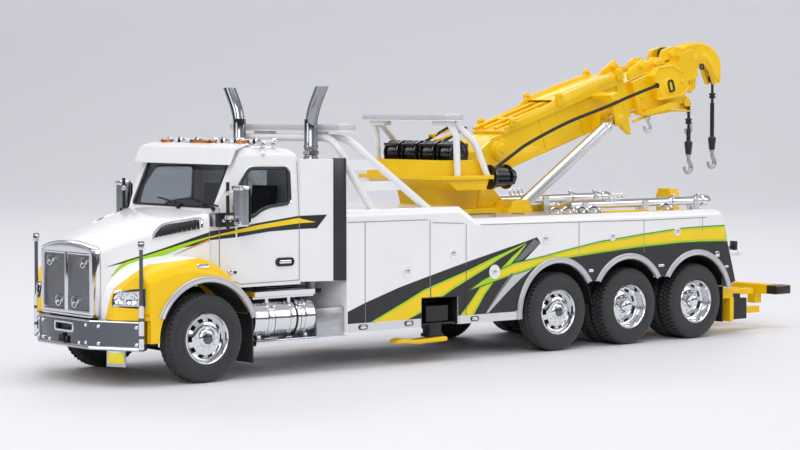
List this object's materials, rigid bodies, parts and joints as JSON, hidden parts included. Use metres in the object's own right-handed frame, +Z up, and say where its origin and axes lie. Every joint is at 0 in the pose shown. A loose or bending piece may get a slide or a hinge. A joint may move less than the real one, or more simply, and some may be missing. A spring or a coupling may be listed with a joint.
{
  "type": "die-cast scale model rotator tow truck",
  "caption": "Die-cast scale model of a long-nosed heavy rotator tow truck with a turning telescopic boom, winches, outriggers and an underlift.",
  "frame": {"origin": "middle of the bounding box's footprint, on the ground under the tyres", "axes": "+X to the truck's rear, +Y to its right-hand side, +Z up"},
  "size_m": [0.235, 0.0552, 0.0832],
  "materials": {
    "white_paint": "gloss",
    "yellow_paint": "gloss",
    "black_paint": "satin",
    "chrome_plate": "mirror polish",
    "frame_paint": "satin",
    "cast_grey": "cast",
    "tyre_rubber": "matt",
    "flap_rubber": "matt",
    "window_clear": "clear",
    "lens_clear": "clear",
    "dark_plastic": "matt",
    "aluminium_trim": "satin",
    "steel_rod": "polished",
    "line_steel": "dark"
  },
  "bodies": {
    "truck": {"chassis_frame": "frame_paint", "axle_housings": "frame_paint", "engine_block": "cast_grey", "front_bumper": "chrome_plate", "hood_shell": "white_paint", "front_fenders": "yellow_paint", "headlamps": "lens_clear", "grille": "chrome_plate", "cab_shell": "white_paint", "cab_glass": "window_clear", "cab_interior": "dark_plastic", "sun_visor": "white_paint", "roof_fittings": "chrome_plate", "mirrors": "chrome_plate", "side_panels": "white_paint", "exhaust_stacks": "chrome_plate", "fuel_tanks": "chrome_plate", "mud_flaps": "flap_rubber", "tow_body": "white_paint", "body_trims": "aluminium_trim", "light_pylon": "white_paint", "pylon_light_bar": "lens_clear", "deck_tubes": "chrome_plate", "rear_frame": "yellow_paint"},
    "knuckle_right": {"knuckle_right": "frame_paint"},
    "knuckle_left": {"knuckle_left": "frame_paint"},
    "tie_rod": {"tie_rod": "frame_paint"},
    "wheel_front_right": {"tyre_front_right": "tyre_rubber", "rim_front_right": "chrome_plate"},
    "wheel_front_left": {"tyre_front_left": "tyre_rubber", "rim_front_left": "chrome_plate"},
    "axle_pusher": {"tyres_pusher": "tyre_rubber", "rims_pusher": "chrome_plate"},
    "axle_drive_front": {"tyres_drive_front": "tyre_rubber", "rims_drive_front": "chrome_plate"},
    "axle_drive_rear": {"tyres_drive_rear": "tyre_rubber", "rims_drive_rear": "chrome_plate"},
    "turret": {"turret_base": "yellow_paint", "winches": "black_paint", "winch_arch": "white_paint", "arch_light_bar": "lens_clear", "side_winches": "black_paint"},
    "boom_main": {"boom_main": "yellow_paint", "side_line": "line_steel"},
    "boom_mid": {"boom_mid": "yellow_paint"},
    "boom_tip": {"boom_tip": "yellow_paint"},
    "hook_near": {"hook_near": "steel_rod"},
    "hook_far": {"hook_far": "steel_rod"},
    "lift_barrels": {"lift_barrels": "steel_rod"},
    "lift_rods": {"lift_rods": "steel_rod"},
    "outrigger_beam_right": {"outrigger_beam_right": "yellow_paint"},
    "outrigger_beam_left": {"outrigger_beam_left": "yellow_paint"},
    "outrigger_leg_right": {"outrigger_leg_right": "yellow_paint"},
    "outrigger_leg_left": {"outrigger_leg_left": "yellow_paint"},
    "rear_leg_right": {"rear_leg_right": "black_paint"},
    "rear_leg_left": {"rear_leg_left": "black_paint"},
    "underlift_arm": {"underlift_arm": "yellow_paint"},
    "underlift_slide": {"underlift_slide": "yellow_paint"},
    "cross_bar": {"cross_bar": "yellow_paint"}
  },
  "joints": [
    {"name": "steer_right", "type": "hinge", "parent": "truck", "child": "knuckle_right", "pos_m": [-0.0935, 0.0162, 0.0105], "axis": [0, 0, 1], "range_deg": [-18, 18]},
    {"name": "steer_left", "type": "hinge", "parent": "truck", "child": "knuckle_left", "pos_m": [-0.0935, -0.0162, 0.0105], "axis": [0, 0, 1], "range_deg": [-18, 18]},
    {"name": "tie_rod_slide", "type": "slide", "parent": "truck", "child": "tie_rod", "axis": [0, 1, 0], "range_m": [-0.00115, 0.00115]},
    {"name": "wheel_spin_front_right", "type": "hinge", "parent": "knuckle_right", "child": "wheel_front_right", "pos_m": [-0.0935, 0.0215, 0.0105], "axis": [0, 1, 0], "continuous": true},
    {"name": "wheel_spin_front_left", "type": "hinge", "parent": "knuckle_left", "child": "wheel_front_left", "pos_m": [-0.0935, -0.0215, 0.0105], "axis": [0, 1, 0], "continuous": true},
    {"name": "axle_spin_pusher", "type": "hinge", "parent": "truck", "child": "axle_pusher", "pos_m": [0.0197, 0, 0.0105], "axis": [0, 1, 0], "continuous": true},
    {"name": "axle_spin_drive_front", "type": "hinge", "parent": "truck", "child": "axle_drive_front", "pos_m": [0.0466, 0, 0.0105], "axis": [0, 1, 0], "continuous": true},
    {"name": "axle_spin_drive_rear", "type": "hinge", "parent": "truck", "child": "axle_drive_rear", "pos_m": [0.0729, 0, 0.0105], "axis": [0, 1, 0], "continuous": true},
    {"name": "turret_turn", "type": "hinge", "parent": "truck", "child": "turret", "pos_m": [0.0045, 0, 0.0367], "axis": [0, 0, 1], "range_deg": [-140, 140]},
    {"name": "boom_lift", "type": "hinge", "parent": "turret", "child": "boom_main", "pos_m": [0.0135, 0, 0.053], "axis": [0, -1, 0], "range_deg": [0, 40]},
    {"name": "boom_mid_slide", "type": "slide", "parent": "boom_main", "child": "boom_mid", "axis": [0.9532, 0, 0.3024], "range_m": [0, 0.024]},
    {"name": "boom_tip_slide", "type": "slide", "parent": "boom_mid", "child": "boom_tip", "axis": [0.9532, 0, 0.3024], "range_m": [0, 0.024]},
    {"name": "hook_near_swing", "type": "hinge", "parent": "boom_mid", "child": "hook_near", "pos_m": [0.08892, -0.0059, 0.0656], "axis": [0, 1, 0], "range_deg": [-20, 45]},
    {"name": "hook_far_swing", "type": "hinge", "parent": "boom_tip", "child": "hook_far", "pos_m": [0.10532, 0, 0.0731], "axis": [0, 1, 0], "range_deg": [-20, 45]},
    {"name": "lift_barrel_pivot", "type": "hinge", "parent": "turret", "child": "lift_barrels", "pos_m": [0.0168, 0, 0.0375], "axis": [0, -1, 0], "range_deg": [0, 32.9]},
    {"name": "lift_rod_slide", "type": "slide", "parent": "lift_barrels", "child": "lift_rods", "axis": [0.8329, 0, 0.5535], "range_m": [0, 0.00926]},
    {"name": "outrigger_slide_right", "type": "slide", "parent": "truck", "child": "outrigger_beam_right", "axis": [0, 1, 0], "range_m": [0, 0.013]},
    {"name": "outrigger_slide_left", "type": "slide", "parent": "truck", "child": "outrigger_beam_left", "axis": [0, -1, 0], "range_m": [0, 0.013]},
    {"name": "outrigger_jack_right", "type": "slide", "parent": "outrigger_beam_right", "child": "outrigger_leg_right", "axis": [0, 0, -1], "range_m": [0, 0.005]},
    {"name": "outrigger_jack_left", "type": "slide", "parent": "outrigger_beam_left", "child": "outrigger_leg_left", "axis": [0, 0, -1], "range_m": [0, 0.005]},
    {"name": "rear_jack_right", "type": "slide", "parent": "truck", "child": "rear_leg_right", "axis": [0, 0, -1], "range_m": [0, 0.004]},
    {"name": "rear_jack_left", "type": "slide", "parent": "truck", "child": "rear_leg_left", "axis": [0, 0, -1], "range_m": [0, 0.004]},
    {"name": "underlift_tilt", "type": "hinge", "parent": "truck", "child": "underlift_arm", "pos_m": [0.0885, 0, 0.0086], "axis": [0, -1, 0], "range_deg": [-5, 12]},
    {"name": "underlift_extend", "type": "slide", "parent": "underlift_arm", "child": "underlift_slide", "axis": [1, 0, 0], "range_m": [0, 0.01]},
    {"name": "cross_bar_swivel", "type": "hinge", "parent": "underlift_slide", "child": "cross_bar", "pos_m": [0.1139, 0, 0.01], "axis": [0, 0, 1], "range_deg": [-12, 12]}
  ],
  "couplings": [
    {"joint": "steer_left", "follows": "steer_right", "ratio": 1},
    {"joint": "tie_rod_slide", "follows": "steer_right", "m_per_rad": 0.0036},
    {"joint": "lift_barrel_pivot", "follows": "boom_lift", "ratio": 0.8094},
    {"joint": "lift_rod_slide", "follows": "boom_lift", "m_per_rad": 0.012837}
  ]
}
